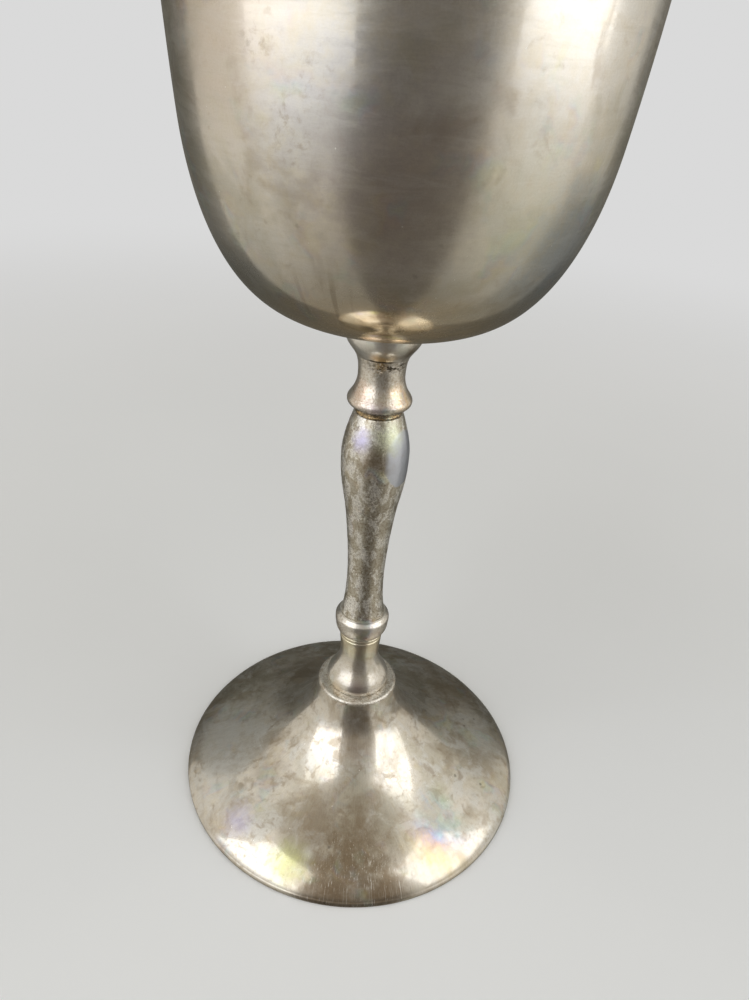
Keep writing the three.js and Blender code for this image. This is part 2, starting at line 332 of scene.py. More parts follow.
class Plate(Nodes):
    """Tarnished silver plate.

    It mixes a sharp and a blurred reflection. haze is how much of the blurred one shows.
    """

    def __init__(self, name, sharp, blurred, haze):
        self.material = bpy.data.materials.new(name)
        self.material.use_nodes = True
        super().__init__(self.material.node_tree)
        spot = self.add("ShaderNodeTexCoord").outputs["Object"]
        # Places in millimetres, so that texture scales are features per millimetre.
        self.place = self.vector("SCALE", spot, scale=1 / MM)
        self.sharp = sharp
        self.blurred = blurred
        self.haze = haze
        self.normal = None
        self.mottle = self.noise(self.place, 0.5, 7.0, 0.68, 0.2)
        self.fine = self.noise(self.place, 3.0, 4.0, 0.6)
        self.colour = self.mix(self.spread(self.mottle, 0.35, 0.7, 0, 0.4), CLEAN_SILVER, STRAW_SILVER)

    def rise(self):
        """Height above the table in millimetres."""
        return self.add("ShaderNodeSeparateXYZ", {0: self.place}).outputs[2]

    def stretched(self, x, y, z):
        return self.vector("MULTIPLY", self.place, (x, y, z))

    def spokes(self, across, along):
        """Places for a texture drawn out along the radius: across turns, and along the radius and height."""
        rise = self.rise()
        flat = self.vector("MULTIPLY", self.place, (1, 1, 0))
        way = self.vector("SCALE", self.vector("NORMALIZE", flat), scale=across)
        reach = self.add("ShaderNodeVectorMath", {0: flat}, operation="LENGTH").outputs["Value"]
        length = self.times(self.plus(reach, rise), along)
        return self.vector("ADD", way, self.add("ShaderNodeCombineXYZ", {2: length}).outputs[0])

    def tint(self, mask, colour):
        self.colour = self.mix(mask, self.colour, colour)

    def dull(self, mask, amount):
        """Adds haze, and some blur to the sharp reflection, where the mask is."""
        extra = self.times(mask, amount)
        self.haze = self.plus(self.haze, extra, clamp=True)
        self.sharp = self.plus(self.sharp, self.times(extra, 0.25), clamp=True)

    def bump(self, height, depth):
        """Relief of the given depth in millimetres."""
        values = {"Height": height, "Distance": depth * MM, "Strength": 1.0}
        if self.normal is not None:
            values["Normal"] = self.normal
        self.normal = self.add("ShaderNodeBump", values).outputs["Normal"]

    def clouds(self, scale, start, colour, strength, shift=0.0):
        """Soft patches of a colour, about 1 / scale millimetres wide. A higher start leaves fewer of them."""
        places = self.vector("ADD", self.place, (shift, 0.7 * shift, 0.4 * shift))
        patches = self.noise(places, scale, 7.0, 0.62, 0.7)
        cover = self.times(self.spread(patches, start, start + 0.12), strength)
        self.tint(cover, colour)
        self.dull(cover, 0.25)

    def marks(self, places, strength, relief):
        """Fine lines of polishing, drawn out along the given places."""
        lines = self.noise(places, 1.0, 6.0, 0.7)
        self.tint(self.spread(lines, 0.48, 0.78, 0, strength), OLIVE_SILVER)
        self.dull(self.spread(lines, 0.35, 0.7), 0.35 * strength)
        self.bump(lines, relief)

    def near(self, azimuth, radius, height, size, ragged=0.35):
        """A blotch about a place on the surface: 1 at its middle and 0 from its size outwards.

        Azimuth is in degrees from the front, growing to the right, and the rest is in millimetres.
        """
        turn = math.radians(azimuth)
        middle = (radius * math.sin(turn), -radius * math.cos(turn), height)
        away = self.vector("DISTANCE", self.place, middle)
        wavy = self.times(self.math("SUBTRACT", self.mottle, 0.5), 2 * ragged * size)
        return self.spread(self.plus(away, wavy), size, 0.0)

    def film(self, mask, azimuth, radius, height, size):
        """Film colours where the mask is. The film thickens towards a place and changes colour as it does."""
        thick = self.near(azimuth, radius, height, size, 0.16)
        self.tint(mask, self.ramp(thick, FILM_COLOURS))

    def grains(self, strength):
        """Fine brown and white grains all over."""
        grain = self.noise(self.place, 3.0, 4.0, 0.8)
        self.tint(self.times(self.spread(grain, 0.53, 0.60), 0.75 * strength), BROWN_TARNISH_AND_SHADE)
        self.tint(self.times(self.spread(grain, 0.46, 0.40), strength), WHITE_DUST_AND_HIGHLIGHT)

    def faint_film(self, strength):
        """Weak film colours scattered over the whole piece."""
        shifted = self.vector("ADD", self.place, (31.0, 7.0, 3.0))
        patch = self.spread(self.noise(shifted, 0.13, 4.0, 0.6), 0.52, 0.64)
        thick = self.spread(self.noise(self.place, 0.16, 3.0, 0.5, 0.4), 0.3, 0.72)
        self.tint(self.times(patch, strength), self.ramp(thick, FILM_COLOURS))

    def scattered(self, scale, reach, share):
        """Small round marks at random: about one texture cell in 1 / share has one."""
        values = {"Vector": self.place, "Scale": scale}
        cells = self.add("ShaderNodeTexVoronoi", values)
        wavy = self.plus(cells.outputs["Distance"], self.times(self.math("SUBTRACT", self.fine, 0.5), reach))
        mark = self.spread(wavy, reach, reach * 0.6)
        pick = self.add("ShaderNodeSeparateColor", {0: cells.outputs["Color"]}).outputs[0]
        return self.times(mark, self.math("LESS_THAN", pick, share))

    def spots_and_dust(self, spots=0.5, dust=0.6):
        spot = self.times(self.scattered(0.35, 0.14, 0.10), spots)
        self.tint(spot, DARK_TARNISH)
        self.dull(spot, 0.5)
        speck = self.times(self.scattered(1.0, 0.12, 0.035), dust)
        self.tint(speck, WHITE_DUST_AND_HIGHLIGHT)
        self.dull(speck, 1.0)

    def finish(self):
        self.dull(self.spread(self.fine, 0.3, 0.7), 0.08)
        self.bump(self.mottle, 0.006)
        shaders = []
        for rough in (self.sharp, self.blurred):
            values = {"Base Color": self.colour, "Metallic": 1.0, "Roughness": rough, "Normal": self.normal}
            shaders.append(self.add("ShaderNodeBsdfPrincipled", values).outputs[0])
        both = self.add("ShaderNodeMixShader", {0: self.haze, 1: shaders[0], 2: shaders[1]})
        self.add("ShaderNodeOutputMaterial", {"Surface": both.outputs[0]})
        return self.material


def bowl_plate():
    p = Plate("bowl_plate", sharp=0.06, blurred=0.33, haze=0.56)
    p.clouds(0.045, 0.47, OLIVE_SILVER, 0.5)
    p.clouds(0.10, 0.50, MILKY_SILVER, 0.45, 20)
    p.clouds(0.08, 0.53, BROWN_TARNISH_AND_SHADE, 0.4, 50)
    p.clouds(0.4, 0.58, BROWN_TARNISH_AND_SHADE, 0.3, 90)
    p.marks(p.stretched(0.10, 0.10, 0.9), 0.22, 0.0006)
    p.marks(p.stretched(0.15, 0.15, 1.6), 0.2, 0.0012)
    # Warm at the left, bluish and milky beside the middle, olive at the lower right, and painted shade in
    # brown at the front middle, where a dark band is mirrored.
    for azimuth, radius, height, size, strength, colour in (
        (-42, 32, 142, 16, 0.5, (0.78, 0.66, 0.56)), (-14, 31.6, 134, 13, 0.5, (0.58, 0.62, 0.70)),
        (28, 30, 124, 15, 0.4, (0.74, 0.76, 0.60)), (52, 30, 119, 14, 0.6, (0.50, 0.57, 0.66)),
        (0, 30, 128, 16, 0.5, (0.46, 0.36, 0.30)),
    ):
        p.tint(p.times(p.near(azimuth, radius, height, size, 0.7), strength), colour)
    rise = p.rise()
    # Painted shade: olive, stronger towards the bottom of the bowl and in broad bands at its left and right
    # sides.
    p.tint(p.spread(rise, 118, 106, 0, 0.4), OLIVE_SILVER)
    p.tint(p.times(p.near(86, 33, 132, 22, 0.3), 0.9), OLIVE_SILVER)
    p.tint(p.times(p.near(-88, 33, 132, 22, 0.5), 0.4), OLIVE_SILVER)
    # Painted reflection: a gold tint round the bottom of the bowl, where it mirrors the foot's bright
    # patches. The haze is lower there too.
    base = p.spread(rise, 120, 114)
    painted_gold_reflection = p.times(base, p.boosted(p.near(3, 8, 107, 24, 0.1), 2.5))
    p.tint(painted_gold_reflection, (0.95, 0.76, 0.50))
    p.haze = p.math("SUBTRACT", p.haze, p.times(base, 0.5), clamp=True)
    streaks = p.spread(p.noise(p.stretched(0.09, 0.09, 0.4), 1.0, 5.0, 0.6, 0.8), 0.46, 0.64)
    p.dull(p.times(streaks, p.inverse(base)), 0.16)
    p.tint(p.times(streaks, 0.15), MILKY_SILVER)
    # Small brown smudges at the left, and drips above the base.
    smudge = p.spread(p.noise(p.stretched(0.9, 0.9, 0.9), 1.0, 6.0, 0.75, 0.4), 0.48, 0.66)
    for azimuth, radius, height, size in ((-29, 32, 141, 3.4), (-18.5, 32, 138, 4.6), (-23, 31, 132.5, 5.4)):
        p.tint(p.times(p.near(azimuth, radius, height, size, 0.6), smudge, 0.6), BROWN_TARNISH_AND_SHADE)
    drips = p.spread(p.noise(p.spokes(24.0, 0.02), 1.0, 2.0), 0.50, 0.62)
    p.tint(p.times(drips, p.near(-19, 26.0, 113, 8, 0.3), 0.45), BROWN_TARNISH_AND_SHADE)
    p.faint_film(0.2)
    p.spots_and_dust(0.2, 0.7)
    return p.finish()


def seam_pits(p, level, strength):
    """Dark solder pits along a seam, thickest at the front right."""
    flat = p.stretched(1, 1, 0)
    away = p.math("ABSOLUTE", p.math("SUBTRACT", p.rise(), level))
    bite = p.spread(p.noise(p.place, 1.6, 4.0, 0.7), 0.50, 0.56)
    turn = math.radians(25)
    side = p.vector("DISTANCE", flat, (5 * math.sin(turn), -5 * math.cos(turn), 0))
    open_side = p.spread(side, 6.0, 2.0, 0.02, 1.0)
    pits = p.times(bite, p.spread(away, 1.3, 0.2), open_side, strength)
    p.tint(pits, DARK_TARNISH)
    p.dull(pits, 0.6)
    p.bump(p.inverse(pits), 0.12)


def collar_plate():
    p = Plate("collar_plate", sharp=0.12, blurred=0.45, haze=0.5)
    p.clouds(0.22, 0.52, OLIVE_SILVER, 0.4)
    # Painted highlights: white patches at the left and right of the collar's upright band.
    p.tint(p.boosted(p.near(-30, 6.2, 101, 5.0, 0.5), 1.6), WHITE_DUST_AND_HIGHLIGHT)
    p.tint(p.times(p.near(30, 6.6, 103, 4.0, 0.5), 0.9), WHITE_DUST_AND_HIGHLIGHT)
    p.grains(0.4)
    p.clouds(0.35, 0.56, BROWN_TARNISH_AND_SHADE, 0.5, 10)
    rise = p.rise()
    p.tint(p.times(p.near(-2, 5.0, 98.3, 2.6, 0.3), 0.9), GOLD_SHOWING)
    slit = p.boosted(p.near(-3, 5.0, 98.0, 3.0, 0.1), 3.0)
    p.tint(p.times(slit, p.spread(rise, 98.25, 98.05), 0.95), DARK_TARNISH)
    p.tint(p.times(p.near(48, 5.6, 99.8, 2.4, 1.0), 0.9), BROWN_TARNISH_AND_SHADE)
    p.marks(p.stretched(0.4, 0.4, 9.0), 0.2, 0.002)
    p.faint_film(0.15)
    p.spots_and_dust(0.5, 0.3)
    return p.finish()


def spool_plate():
    p = Plate("spool_plate", sharp=0.10, blurred=0.45, haze=0.48)
    p.clouds(0.25, 0.50, OLIVE_SILVER, 0.5)
    p.clouds(0.5, 0.54, BROWN_TARNISH_AND_SHADE, 0.5, 10)
    p.tint(p.times(p.near(-2, 4.4, 97.2, 1.8, 0.3), 0.9), GOLD_SHOWING)
    p.tint(p.times(p.near(-48, 5.2, 92, 4.0, 0.8), 1.0), (0.84, 0.66, 0.54))
    p.tint(p.times(p.near(48, 5.2, 91.5, 4.2, 0.8), 1.0), (0.86, 0.66, 0.44))
    p.tint(p.times(p.near(-10, 5.6, 90.2, 3.0, 0.8), 0.8), (0.80, 0.70, 0.76))
    p.grains(0.8)
    seam_pits(p, 96.9, 0.95)
    rise = p.rise()
    p.tint(p.spread(rise, 88.9, 88.4, 0, 0.75), BROWN_TARNISH_AND_SHADE)
    p.tint(p.times(p.spread(rise, 88.3, 88.0), 0.8), GOLD_SHOWING)
    crack = p.times(p.spread(p.fine, 0.42, 0.5), p.spread(rise, 89.5, 89.0))
    p.tint(p.times(crack, 0.75), DARK_TARNISH)
    p.marks(p.stretched(0.3, 0.3, 8.0), 0.25, 0.002)
    p.bump(p.fine, 0.04)
    p.faint_film(0.4)
    p.spots_and_dust(0.6, 0.8)
    return p.finish()


def cast_plate():
    """Granular over most of the stem, and smooth in one patch at the right."""
    p = Plate("cast_plate", sharp=0.2, blurred=0.44, haze=0.5)
    patch = p.plus(p.near(60, 6.0, 81, 6.4, 0.1), p.near(55, 6.1, 78, 4.8, 0.1), clamp=True)
    smooth = p.spread(patch, 0.2, 0.34)
    grainy = p.inverse(smooth)
    grain = p.noise(p.place, 2.6, 5.0, 0.85)
    pale = p.spread(p.noise(p.stretched(0.5, 0.5, 0.3), 1.0, 6.0, 0.7, 0.5), 0.46, 0.56)
    brown = p.inverse(pale)
    p.tint(p.times(pale, grainy, 0.7), (0.82, 0.82, 0.80))
    p.dull(p.times(pale, grainy), 0.15)
    p.tint(p.times(brown, grainy, 0.65), OLIVE_SILVER)
    p.tint(p.times(p.spread(grain, 0.47, 0.58), brown, grainy, 0.75), BROWN_TARNISH_AND_SHADE)
    p.tint(p.times(p.spread(grain, 0.56, 0.66), grainy, 0.9), DARK_TARNISH)
    flecks = p.times(p.spread(grain, 0.51, 0.44), p.plus(0.2, p.times(pale, 0.8)), grainy)
    p.tint(p.times(flecks, 0.8), WHITE_DUST_AND_HIGHLIGHT)
    p.dull(flecks, 0.35)
    relief = p.plus(p.times(p.math("SUBTRACT", grain, 0.5), grainy), 0.5)
    p.bump(relief, 0.035)
    p.tint(p.times(smooth, 0.8), (0.60, 0.66, 0.80))
    p.tint(p.times(p.near(-27, 5.4, 83.8, 3.0, 0.8), 0.9), VIOLET_FILM)
    p.tint(p.times(p.near(24, 5.3, 84.3, 4.4, 0.8), 0.7), GREEN_FILM)
    # Painted shade: brown at the front middle of the swell, where a dark band is mirrored.
    p.tint(p.times(p.near(-2, 6.0, 80, 4.5, 0.8), 0.7), BROWN_TARNISH_AND_SHADE)
    p.faint_film(0.3)
    p.spots_and_dust(0.8, 0.8)
    return p.finish()


def ring_plate():
    p = Plate("ring_plate", sharp=0.12, blurred=0.4, haze=0.45)
    p.tint(0.5, MILKY_SILVER)
    p.dull(0.5, 0.2)
    p.grains(0.7)
    p.clouds(0.3, 0.5, MILKY_SILVER, 0.5)
    sides = p.plus(p.near(-70, 5.4, 40, 6.0), p.near(75, 5.4, 40, 6.0), clamp=True)
    grain = p.noise(p.place, 2.0, 5.0, 0.8)
    p.tint(p.times(sides, p.spread(grain, 0.5, 0.56)), BROWN_TARNISH_AND_SHADE)
    p.tint(p.times(p.near(6, 5.4, 39.6, 2.0), 0.7), (0.50, 0.34, 0.24))
    p.bump(p.times(sides, grain), 0.12)
    p.faint_film(0.3)
    p.spots_and_dust(0.5, 0.5)
    return p.finish()


def lower_spool_plate():
    p = Plate("lower_spool_plate", sharp=0.14, blurred=0.4, haze=0.42)
    p.grains(0.6)
    p.clouds(0.25, 0.5, OLIVE_SILVER, 0.4)
    p.clouds(0.4, 0.56, BROWN_TARNISH_AND_SHADE, 0.4, 10)
    rise = p.rise()
    p.tint(p.spread(rise, 31, 37, 0, 0.6), (0.66, 0.58, 0.38))
    p.tint(p.times(p.near(2, 6.4, 27.0, 2.4, 0.6), 0.6), (0.52, 0.40, 0.40))
    p.tint(p.times(p.near(-40, 6.4, 25.6, 2.4, 0.4), 0.6), (0.80, 0.66, 0.46))
    p.marks(p.stretched(0.3, 0.3, 8.0), 0.25, 0.002)
    p.faint_film(0.15)
    p.spots_and_dust(0.5, 0.4)
    return p.finish()


def seat_ring_plate():
    """Dull and pale, scratched round and round."""
    p = Plate("seat_ring_plate", sharp=0.22, blurred=0.5, haze=0.55)
    p.clouds(0.3, 0.48, OLIVE_SILVER, 0.6)
    p.clouds(0.8, 0.52, BROWN_TARNISH_AND_SHADE, 0.4, 30)
    p.tint(0.4, MILKY_SILVER)
    p.grains(0.8)
    p.tint(p.times(p.spread(p.noise(p.place, 0.9, 5.0, 0.7, 0.5), 0.5, 0.6), 0.55), BROWN_TARNISH_AND_SHADE)
    flat = p.stretched(1, 1, 0)
    reach = p.add("ShaderNodeVectorMath", {0: flat}, operation="LENGTH").outputs["Value"]
    rings = p.add("ShaderNodeCombineXYZ", {0: p.times(reach, 7.0)}).outputs[0]
    p.marks(p.vector("ADD", rings, p.stretched(0.15, 0.15, 0.15)), 0.7, 0.015)
    p.bump(p.noise(p.place, 1.4, 4.0, 0.7), 0.08)
    p.spots_and_dust(0.4, 0.8)
    return p.finish()


def foot_plate():
    p = Plate("foot_plate", sharp=0.045, blurred=0.36, haze=0.38)
    p.clouds(0.05, 0.46, OLIVE_SILVER, 0.45)
    p.clouds(0.11, 0.49, BROWN_TARNISH_AND_SHADE, 0.45, 10)
    p.clouds(0.15, 0.51, MILKY_SILVER, 0.7, 40)
    p.clouds(0.35, 0.53, BROWN_TARNISH_AND_SHADE, 0.55, 70)
    p.clouds(1.0, 0.54, BROWN_TARNISH_AND_SHADE, 0.4, 25)
    p.marks(p.spokes(22.0, 0.3), 0.3, 0.0007)
    p.marks(p.spokes(60.0, 0.9), 0.35, 0.0008)
    # Brown tarnish blotches, laid only over the back half of the foot as painted shade.
    behind = p.add("ShaderNodeSeparateXYZ", {0: p.place}).outputs[1]
    blotches_and_back_shade = p.spread(p.noise(p.place, 0.22, 7.0, 0.68, 0.6), 0.46, 0.58)
    p.tint(p.times(blotches_and_back_shade, p.spread(behind, -4, 12), 0.45), (0.28, 0.24, 0.16))
    # Brown clouds at the front.
    for azimuth, radius, height, size, strength in (
        (5, 10, 18, 4, 0.15), (-14, 25, 8, 12, 0.5), (8, 27, 7, 10, 0.5), (4, 29, 6, 9, 0.7),
        (2, 32.5, 5, 9, 1.0), (-4, 35, 3, 8, 1.0), (14, 35, 3, 8, 1.0), (-51, 22, 9, 6, 0.5),
        (125, 28, 6, 14, 0.5), (-140, 20, 10, 10, 0.5),
    ):
        p.tint(p.times(p.near(azimuth, radius, height, size, 0.8), strength), BROWN_TARNISH_AND_SHADE)
    # Milky haze at the left, and one pale spot by the front edge.
    for azimuth, radius, height, size, strength in (
        (-13, 30.5, 5.4, 1.8, 0.7), (-85, 28, 6, 13, 0.8), (-62, 32, 4.5, 9, 0.55), (95, 30, 5, 9, 0.5),
    ):
        haze = p.times(p.near(azimuth, radius, height, size, 0.8), strength)
        p.tint(haze, MILKY_SILVER)
        p.dull(haze, 0.35)
    # Film colours in streaks by the right-hand edge, and fainter ones at the left.
    streaks = p.spread(p.noise(p.spokes(9.0, 0.1), 1.0, 4.0, 0.6), 0.35, 0.6)
    right = p.times(p.near(34, 33, 4.3, 12, 0.3), p.plus(0.5, p.times(streaks, 0.5)))
    p.film(right, 58, 25, 7, 21)
    p.film(p.times(p.near(46, 26, 7.5, 6, 0.6), streaks, 0.5), 62, 24, 7, 16)
    p.tint(p.times(p.near(-19, 33, 4.3, 6, 0.5), 0.8), (0.66, 0.68, 0.34))
    p.tint(p.times(p.near(-43, 31.9, 4.8, 5, 0.5), 0.6), VIOLET_FILM)
    p.faint_film(0.22)
    scratches = p.noise(p.spokes(170.0, 2.2), 1.0, 4.0, 0.65)
    front = p.boosted(p.near(6, 35, 3, 15, 0.5), 1.6)
    worn = p.times(p.spread(scratches, 0.57, 0.68), front, 0.7)
    p.tint(worn, WHITE_DUST_AND_HIGHLIGHT)
    p.dull(worn, 0.5)
    p.spots_and_dust(0.5, 1.0)
    return p.finish()


def plain_metal(name, colour, dull, rough):
    """Bare brass or steel with dull patches, fine scratches and tool marks."""
    p = Plate(name, rough, rough + 0.2, 0.4)
    p.colour = p.mix(p.spread(p.noise(p.place, 0.35, 6.0, 0.65, 0.3), 0.35, 0.68), colour, dull)
    p.bump(p.noise(p.stretched(0.4, 0.4, 12.0), 1.0, 4.0, 0.6), 0.004)
    p.bump(p.fine, 0.006)
    p.spots_and_dust(0.4, 0.2)
    return p.finish()


# ---------------------------------------------------------------- bowl

# The cup is a superellipse about the axis, widened by the slope of its wall, in millimetres.
CUP_RADIUS = 28.26
CUP_DEPTH = 28.25
CUP_SLOPE = 0.106
CUP_RADIAL_POWER = 4
CUP_AXIAL_POWER = 2.14
BOWL_WALL = 1.0
# Above the cup one curve runs to the rim. Its control points stand WALL_EASE above the cup's top and
# WALL_EASE below the rim's top, and give it the cup's slope at one end and about RIM_SLOPE at the other.
WALL_EASE = 15
RIM_SLOPE = 0.053
RIM_ROUNDING = 0.5
# The cup's flat middle is closed by a fan of faces inside this radius.
FAN_RADIUS = 0.4


def bowl_side():
    """The bowl's outer face from the axis to just below its rim, with heights from its base."""
    low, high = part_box("bowl")
    total = (high.z - low.z) / MM
    rim = high.x / MM
    angle = np.linspace(0.03, 1, 110) * math.pi / 2
    rise = CUP_DEPTH * (1 - np.cos(angle) ** (2 / CUP_AXIAL_POWER))
    radius = (CUP_RADIUS + CUP_SLOPE * rise) * np.sin(angle) ** (2 / CUP_RADIAL_POWER)
    side = Outline(radius[-1], rise[-1])
    side.bend(
        (radius[-1] + WALL_EASE * CUP_SLOPE, rise[-1] + WALL_EASE),
        (rim - WALL_EASE * RIM_SLOPE, total - WALL_EASE),
        (rim, total - RIM_ROUNDING),
        60,
    )
    return np.vstack([np.stack([radius, rise], 1), side.array()[1:]])


def build_bowl():
    outer = bowl_side()
    inner = inset(outer, BOWL_WALL)
    inner = inner[inner[:, 0] > 3]
    rim = Outline(*outer[-1])
    middle = (outer[-1, 0] + inner[-1, 0]) / 2
    top = outer[-1, 1] + RIM_ROUNDING
    rim.corner((outer[-1, 0], top), (middle + 0.08, top)).to(middle - 0.08, top)
    rim.corner((inner[-1, 0], top), tuple(inner[-1]))
    inner[inner[:, 1] < BOWL_WALL, 1] = BOWL_WALL
    start = Outline(FAN_RADIUS, 0).to(outer[0, 0], 0, 8)
    end = Outline(inner[0, 0], BOWL_WALL).to(FAN_RADIUS, BOWL_WALL, 8)
    path = np.vstack([start.array()[:-1], outer, rim.array()[1:-1], inner[::-1], end.array()[1:]])
    radius, height = grids(fitted(path, "bowl"), SHELL_STEPS)
    low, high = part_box("bowl")
    body = np.clip((height - low.z) / (4 * MM), 0, 1)
    body *= np.clip((high.z - height) / (6 * MM), 0, 1)
    radius = radius + body * (ripple(radius, height, 11 * MM, 0.035 * MM, 1) - 0.02 * MM)
    piece = spun("bowl_finished", radius, height, closed=False)
    return finish_piece(piece, "bowl", bowl_plate())


# ---------------------------------------------------------------- stem

# In millimetres.
STEM_BORE = 2.25


def bored(name, node, outer, grain=None, spacing=None):
    """A stem piece closed by a plain bore. grain is a function that roughens its outer face."""
    outer = outer.array() if spacing is None else even(outer.array(), spacing)
    count = len(outer)
    path = np.vstack([outer, [(STEM_BORE, outer[-1, 1])], [(STEM_BORE, outer[0, 1])]])
    radius, height = grids(fitted(path, node), STEM_STEPS)
    if grain is not None:
        radius[:count] += grain(radius[:count], height[:count])
    return spun(name, radius, height, closed=True)


def seam_wear(radius, height, level):
    """How far the metal stands back along a soldered seam.

    A hairline runs all round, and there are lumps at the front right.
    """
    steps = radius.shape[1]
    azimuth = (np.arange(steps) * 2 * math.pi / steps + 1.5 * math.pi) % (2 * math.pi) - math.pi
    open_side = 0.15 + 0.85 * np.exp(-(((azimuth - 0.45) / 0.7) ** 2))
    hairline = np.exp(-(((height - level) / (0.12 * MM)) ** 2)) * 0.04 * MM
    lumps = np.exp(-(((height - level) / (0.9 * MM)) ** 2)) * open_side
    return lumps * (ripple(radius, height, 1.1 * MM, 0.08 * MM, 5, 2) - 0.05 * MM) - hairline


def build_bowl_seat():
    side = Outline(4.58, 0).bend((4.78, 0.45), (5.08, 0.85), (5.42, 1.3), 20)
    side.bend((5.8, 1.8), (6.32, 2.45), (6.54, 3.5), 24)
    side.to(6.88, 5.95, 16).corner((6.9, 6.1), (6.78, 6.1), 3)
    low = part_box("bowl_seat")[0].z

    def seam(radius, height):
        return seam_wear(radius, height, low)

    piece = bored("bowl_seat_finished", "bowl_seat", side, grain=seam, spacing=0.1)
    return finish_piece(piece, "bowl_seat", collar_plate())


def build_upper_spool():
    side = Outline(4.0, 0).corner((4.12, 0.0), (4.1, 0.15), 3)
    side.bend((3.97, 0.4), (3.97, 0.75), (4.15, 1.06), 10)
    side.bend((5.1, 1.2), (5.66, 1.65), (5.66, 2.35), 20)
    side.bend((5.62, 2.95), (5.0, 3.5), (4.65, 4.25), 20)
    side.bend((4.25, 5.1), (4.03, 6.0), (4.03, 6.85), 20)
    side.bend((4.03, 8.4), (4.17, 9.4), (4.58, 10.3), 24)
    low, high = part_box("upper_spool")

    def worn(radius, height):
        return seam_wear(radius, height, high.z) + 0.7 * seam_wear(radius, height, low.z + 1.1 * MM)

    piece = bored("upper_spool_finished", "upper_spool", side, grain=worn, spacing=0.1)
    return finish_piece(piece, "upper_spool", spool_plate())


def build_baluster():
    side = Outline(4.3, 0).corner((4.4, 0), (4.38, 0.12), 3)
    side.bend((4.0, 1.5), (3.64, 5.1), (3.64, 8.4), 40)
    side.bend((3.64, 13.6), (4.12, 18.4), (4.7, 23.6), 60)
    side.bend((5.15, 27.2), (6.16, 30.0), (6.16, 35.6), 60)
    side.bend((6.16, 38.8), (5.05, 41.9), (4.42, 43.8), 40).corner((4.34, 44.1), (4.15, 44.1), 5)

    def cast(radius, height):
        """Fine grains all over, on a slightly uneven casting."""
        coarse = ripple(radius, height, 2.2 * MM, 0.02 * MM, 3, 2)
        grains = ripple(radius, height, 0.5 * MM, 0.025 * MM, 6)
        return coarse - np.abs(grains) - 0.02 * MM

    piece = bored("baluster_finished", "baluster", side, grain=cast, spacing=0.18)
    return finish_piece(piece, "baluster", cast_plate())


def build_lower_ring():
    side = Outline(4.2, 0).bend((4.75, 0.3), (5.15, 1.0), (5.3, 2.0), 26)
    side.bend((5.41, 2.8), (5.45, 3.3), (5.43, 3.95), 20).corner((5.4, 4.2), (5.22, 4.38), 4)
    side.to(4.86, 4.74, 8).bend((4.74, 4.86), (4.7, 5.0), (4.68, 5.18), 6)
    side.corner((4.67, 5.2), (4.45, 5.2), 3)

    def uneven(radius, height):
        return ripple(radius, height, 0.8 * MM, 0.02 * MM, 4, 2) - 0.012 * MM

    piece = bored("lower_ring_finished", "lower_ring", side, grain=uneven, spacing=0.1)
    return finish_piece(piece, "lower_ring", ring_plate())


def build_lower_spool():
    side = Outline(6.2, 0).corner((6.33, 0.0), (6.38, 0.14), 3)
    side.bend((6.64, 0.7), (6.58, 1.6), (6.1, 2.5), 26)
    side.bend((5.2, 4.2), (4.0, 5.6), (4.0, 8.0), 50)
    side.bend((4.0, 9.6), (4.24, 10.8), (4.27, 12.0), 30)
    side.corner((4.28, 12.32), (4.13, 12.38), 4).to(4.1, 12.58, 2)
    side.corner((4.12, 12.72), (4.3, 12.76), 4)
    side.corner((4.46, 12.8), (4.46, 13.1), 4).corner((4.46, 13.4), (4.25, 13.4), 5)
    piece = bored("lower_spool_finished", "lower_spool", side, spacing=0.1)
    return finish_piece(piece, "lower_spool", lower_spool_plate())


def build_seat_ring():
    side = Outline(8.35, 0).bend((8.42, 0.35), (8.25, 0.72), (7.75, 0.78), 22).to(6.0, 0.8, 20)
    piece = bored("foot_seat_ring_finished", "foot_seat_ring", side)
    return finish_piece(piece, "foot_seat_ring", seat_ring_plate())


# ---------------------------------------------------------------- foot

# In millimetres.
FOOT_WALL = 1.1
CROWN_THICKNESS = 1.2
CURL_THICKNESS = 0.8


def build_foot():
    """The foot's sheet, from its crown's underside down to the turned-in edge and back up the outside."""
    low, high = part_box("foot")
    top = (high.z - low.z) / MM
    under_crown = top - CROWN_THICKNESS
    outer = Outline(36.72, 1.32)
    outer.bend((34.7, 4.5), (28, 6.1), (21, 9.3), 120)
    outer.bend((12.5, 13.2), (8.65, 17.6), (8.38, top - 0.4), 120)
    sheet = outer.array()
    inner = inset(sheet, FOOT_WALL)
    inner = inner[(inner[:, 1] < top - 1.6) & (inner[:, 1] > 1.9)][::-1]
    under = Outline(STEM_BORE, under_crown).to(6.8, under_crown, 4)
    under.corner((7.2, under_crown), tuple(inner[0]), 5)
    curl = Outline(*inner[-1]).corner((35.55, 0.9), (35.0, CURL_THICKNESS), 8)
    curl.to(33.5, CURL_THICKNESS, 3).corner((33.2, CURL_THICKNESS), (33.2, 0.4), 5)
    curl.corner((33.2, 0.0), (33.6, 0.0), 5).to(36.3, 0.0, 4)
    curl.corner((37.0, 0), (37.0, 0.45), 6).to(37.0, 0.75, 2).corner((37.0, 1.05), tuple(sheet[0]), 5)
    crown = Outline(*sheet[-1]).to(8.35, top).to(STEM_BORE, top, 4)
    whole = np.vstack([under.array(), inner[1:], curl.array()[1:], sheet[1:], crown.array()[1:]])
    radius, height = grids(fitted(whole, "foot"), SHELL_STEPS)
    free = np.clip((height - 1.5 * MM) / (3 * MM), 0, 1) * np.clip((22 * MM - height) / (4 * MM), 0, 1)
    height = height + free * ripple(radius, height, 12 * MM, 0.05 * MM, 2)
    piece = spun("foot_finished", radius, height, closed=True)
    return finish_piece(piece, "foot", foot_plate())


